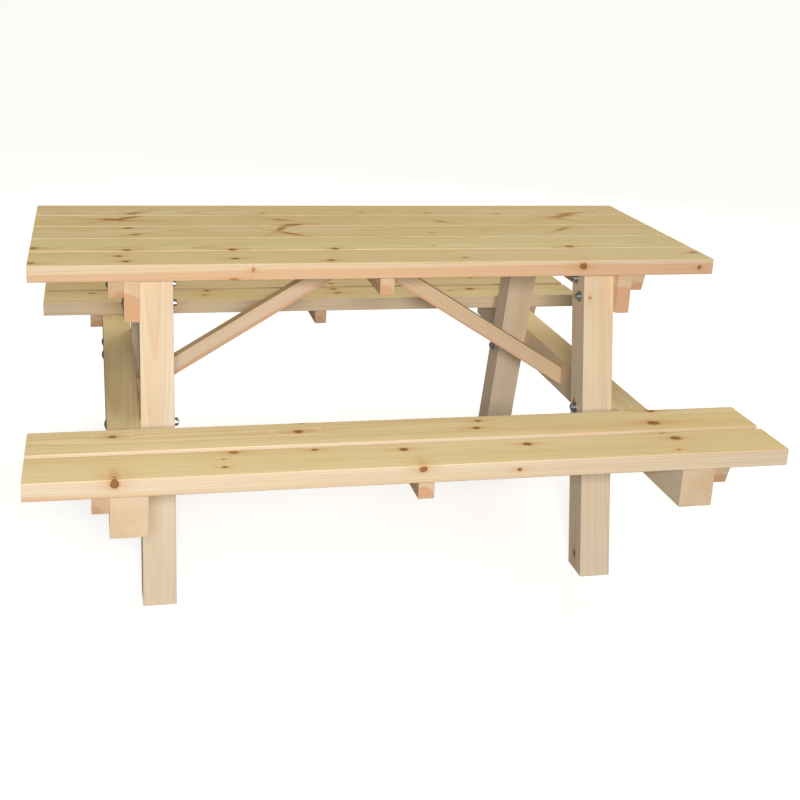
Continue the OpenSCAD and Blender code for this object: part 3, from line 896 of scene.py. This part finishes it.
class PICNIC_OT_bolts(bpy.types.Operator):
    """Build the coach bolts through the beams, battens and bearers"""

    bl_idname = "picnic_table.bolts"
    bl_label = "Bolts"

    def execute(self, context):
        sizes = context.scene.picnic_fastener
        metal = context.scene.picnic_metal
        zinc = plated("Zinc plate, bolts", metal.zinc, metal.dull_zinc)
        rng = random.Random(5)
        for node in ("batten_bolts", "beam_bolts", "bearer_bolts"):
            large = node == "bearer_bolts"
            head = sizes.large_head if large else sizes.small_head
            diameter = sizes.large_thread if large else sizes.small_thread
            pitch = sizes.large_pitch if large else sizes.small_pitch
            group = bmesh.new()
            for low, high in boxes_of(node):
                middle = (low + high) / 2
                outward = X if middle.x > 0 else -X
                outer_x = high.x if middle.x > 0 else low.x
                seat = Vector((outer_x, middle.y, middle.z)) - outward * head
                shape = domed_head(high.y - low.y, head, sizes.head_rim, sizes.around)
                add_shank(shape, diameter, pitch, high.x - low.x - head, sizes.thread_length)
                add_copy(group, shape, place_at(seat, outward, rng.uniform(0, math.tau)))
                shape.free()
            finish_piece(group, node[:-1] + "_set", "bolts", zinc, node)
        return {"FINISHED"}


class PICNIC_OT_nuts(bpy.types.Operator):
    """Build the nuts on the legs' inner faces"""

    bl_idname = "picnic_table.nuts"
    bl_label = "Nuts"

    def execute(self, context):
        sizes = context.scene.picnic_fastener
        metal = context.scene.picnic_metal
        zinc = plated("Zinc plate, nuts", metal.zinc, metal.dull_zinc)
        rng = random.Random(6)
        for node, flats, bore in (
            ("small_nuts", sizes.small_flats, sizes.small_thread),
            ("large_nuts", sizes.large_flats, sizes.large_thread),
        ):
            group = bmesh.new()
            for low, high in boxes_of(node):
                middle = (low + high) / 2
                height = high.x - low.x
                shape = hex_nut(flats, bore * 0.96, height, sizes.nut_sink, sizes.around)
                start = Vector((low.x, middle.y, middle.z))
                add_copy(group, shape, place_at(start, X, rng.uniform(0, math.tau)))
                shape.free()
            finish_piece(group, node[:-1] + "_set", "bolts", zinc, node)
        return {"FINISHED"}


class PICNIC_OT_washers(bpy.types.Operator):
    """Build the washers under the nuts"""

    bl_idname = "picnic_table.washers"
    bl_label = "Washers"

    def execute(self, context):
        sizes = context.scene.picnic_fastener
        metal = context.scene.picnic_metal
        zinc = plated("Zinc plate, washers", metal.zinc, metal.dull_zinc)
        bores = {"small_washers": sizes.small_thread, "large_washers": sizes.large_thread}
        for node, bore in bores.items():
            group = bmesh.new()
            for low, high in boxes_of(node):
                middle = (low + high) / 2
                radius = (high.y - low.y) / 2
                thick = high.x - low.x
                hole = bore / 2 + sizes.washer_play
                edge = sizes.washer_edge
                profile = [
                    (hole, 0), (radius - edge, 0), (radius, edge), (radius, thick - edge),
                    (radius - edge, thick), (hole, thick), (hole, 0),
                ]
                shape = bmesh.new()
                turned(shape, profile, sizes.around)
                bmesh.ops.remove_doubles(shape, verts=shape.verts, dist=WELD)
                bmesh.ops.recalc_face_normals(shape, faces=shape.faces[:])
                add_copy(group, shape, place_at(Vector((low.x, middle.y, middle.z)), X))
                shape.free()
            finish_piece(group, node[:-1] + "_set", "bolts", zinc, node)
        return {"FINISHED"}


class PICNIC_OT_screws(bpy.types.Operator):
    """Build the screws that hold the boards, battens and braces"""

    bl_idname = "picnic_table.screws"
    bl_label = "Screws"

    def execute(self, context):
        sizes = context.scene.picnic_fastener
        metal = context.scene.picnic_metal
        plate = plated("Yellow zinc plate, screws", metal.yellow_zinc, metal.dull_yellow)
        rng = random.Random(7)
        for place in ("top", "seat", "side", "brace_end", "brace_skew"):
            node = place + "_screws"
            group = bmesh.new()
            diameter = sizes.thick_screw if place == "brace_end" else sizes.thin_screw
            for middle, outward, depth in seats_of(node):
                shape = screw_shape(diameter, depth, sizes.screw_proud)
                add_copy(group, shape, place_at(middle, -outward, rng.uniform(0, math.tau)))
                shape.free()
            finish_piece(group, node[:-1] + "_set", "screws", plate, node)
        return {"FINISHED"}


# ---- Stage ----


def area_light(name, place, target, size, power, tint):
    light = bpy.data.lights.new(name, "AREA")
    light.shape = "RECTANGLE"
    light.size, light.size_y = size
    light.energy = power
    light.color = tint
    lamp = bpy.data.objects.new(name, light)
    lamp.location = place
    lamp.rotation_mode = "QUATERNION"
    lamp.rotation_quaternion = (Vector(target) - Vector(place)).to_track_quat("-Z", "Y")
    bpy.context.scene.collection.objects.link(lamp)
    return lamp


class PICNIC_OT_stage(bpy.types.Operator):
    """Build the floor, the lights and the camera"""

    bl_idname = "picnic_table.stage"
    bl_label = "Stage"

    def execute(self, context):
        studio = context.scene.picnic_studio
        self.floor(studio)
        self.backdrop(studio)
        self.lights(context, studio)
        self.camera(context)
        context.scene.view_settings.view_transform = "Standard"
        return {"FINISHED"}

    def floor(self, studio):
        mesh = bmesh.new()
        bmesh.ops.create_grid(mesh, x_segments=1, y_segments=1, size=FLOOR_SIZE)
        paint = Paint("Studio floor")
        place = paint.add("TexCoord", output="Object")
        cloud = paint.noise(place, (3, 3, 3), (0, 0, 0), 2.0)
        tone = paint.mix(studio.floor, [c * 0.99 for c in studio.floor], cloud)
        surface = paint.add("BsdfPrincipled", None, {
            "Base Color": tone, "Roughness": 0.9, "Specular IOR Level": 0.0,
            "Emission Color": (1, 1, 1, 1), "Emission Strength": studio.glow,
        })
        paint.add("OutputMaterial", None, {"Surface": surface})
        self.show(mesh, "studio_floor", paint.material)

    def backdrop(self, studio):
        mesh = bmesh.new()
        bmesh.ops.create_icosphere(mesh, subdivisions=3, radius=FLOOR_SIZE / 2)
        paint = Paint("Studio backdrop")
        surface = paint.add("Emission", None, {"Color": (1, 1, 1, 1), "Strength": studio.backdrop})
        paint.add("OutputMaterial", None, {"Surface": surface})
        dome = self.show(mesh, "studio_backdrop", paint.material)
        dome.visible_shadow = False

    def show(self, mesh, name, material):
        """Puts a piece of the stage in the scene. It neither lights the table nor shows in its metal."""
        data = bpy.data.meshes.new(name)
        mesh.to_mesh(data)
        mesh.free()
        data.materials.append(material)
        piece = bpy.data.objects.new(name, data)
        bpy.context.scene.collection.objects.link(piece)
        piece.visible_diffuse = False
        piece.visible_glossy = False
        return piece

    def lights(self, context, studio):
        area_light("Key light", KEY_PLACE, AIM, KEY_SIZE, studio.key_power, KEY_TINT)
        overhead = bpy.data.lights.new("Overhead light", "SUN")
        overhead.energy = studio.overhead
        overhead.angle = math.radians(OVERHEAD_SPREAD)
        overhead.color = OVERHEAD_TINT
        lamp = bpy.data.objects.new("Overhead light", overhead)
        lamp.rotation_euler = [math.radians(a) for a in OVERHEAD_TURN]
        context.scene.collection.objects.link(lamp)
        behind = area_light("Back light", BACK_PLACE, AIM, BACK_SIZE, studio.back_power, BACK_TINT)
        behind.visible_glossy = False
        world = bpy.data.worlds.new("Studio")
        world.use_nodes = True
        back = world.node_tree.nodes["Background"]
        back.inputs["Color"].default_value = (1, 1, 1, 1)
        back.inputs["Strength"].default_value = studio.sky
        context.scene.world = world

    def camera(self, context):
        data = bpy.data.cameras.new("Camera")
        camera = bpy.data.objects.new("Camera", data)
        context.scene.collection.objects.link(camera)
        yaw, pitch, roll = (math.radians(a) for a in (CAMERA_YAW, CAMERA_PITCH, CAMERA_ROLL))
        ahead = math.cos(pitch)
        forward = Vector((math.sin(yaw) * ahead, math.cos(yaw) * ahead, math.sin(pitch)))
        level = Vector((math.cos(yaw), -math.sin(yaw), 0))
        upward = level.cross(forward)
        right = level * math.cos(roll) + upward * math.sin(roll)
        up = upward * math.cos(roll) - level * math.sin(roll)
        turn = Matrix((right, up, -forward)).transposed().to_4x4()
        camera.matrix_world = Matrix.Translation(CAMERA_PLACE) @ turn
        data.lens = LENS
        data.sensor_width = SENSOR
        data.shift_x, data.shift_y = SHIFT
        context.scene.camera = camera


class PICNIC_PT_panel(bpy.types.Panel):
    """The steps that build the table"""

    bl_idname = "PICNIC_PT_panel"
    bl_label = "Picnic table"
    bl_space_type = "VIEW_3D"
    bl_region_type = "UI"
    bl_category = "Picnic table"

    def draw(self, context):
        for operator in OPERATORS:
            self.layout.operator(operator.bl_idname)


OPERATORS = (
    PICNIC_OT_stage,
    PICNIC_OT_top_boards,
    PICNIC_OT_seat_boards,
    PICNIC_OT_legs,
    PICNIC_OT_beams,
    PICNIC_OT_bearers,
    PICNIC_OT_battens,
    PICNIC_OT_cleats,
    PICNIC_OT_braces,
    PICNIC_OT_bolts,
    PICNIC_OT_nuts,
    PICNIC_OT_washers,
    PICNIC_OT_screws,
)
CLASSES = (*SETTINGS.values(), *OPERATORS, PICNIC_PT_panel)


def register():
    for cls in CLASSES:
        bpy.utils.register_class(cls)
    for name, group in SETTINGS.items():
        setattr(bpy.types.Scene, name, PointerProperty(type=group))


def unregister():
    for name in SETTINGS:
        delattr(bpy.types.Scene, name)
    for cls in reversed(CLASSES):
        bpy.utils.unregister_class(cls)


def main():
    register()
    for operator in OPERATORS:
        group, step = operator.bl_idname.split(".")
        getattr(getattr(bpy.ops, group), step)()


if __name__ == "__main__":
    main()
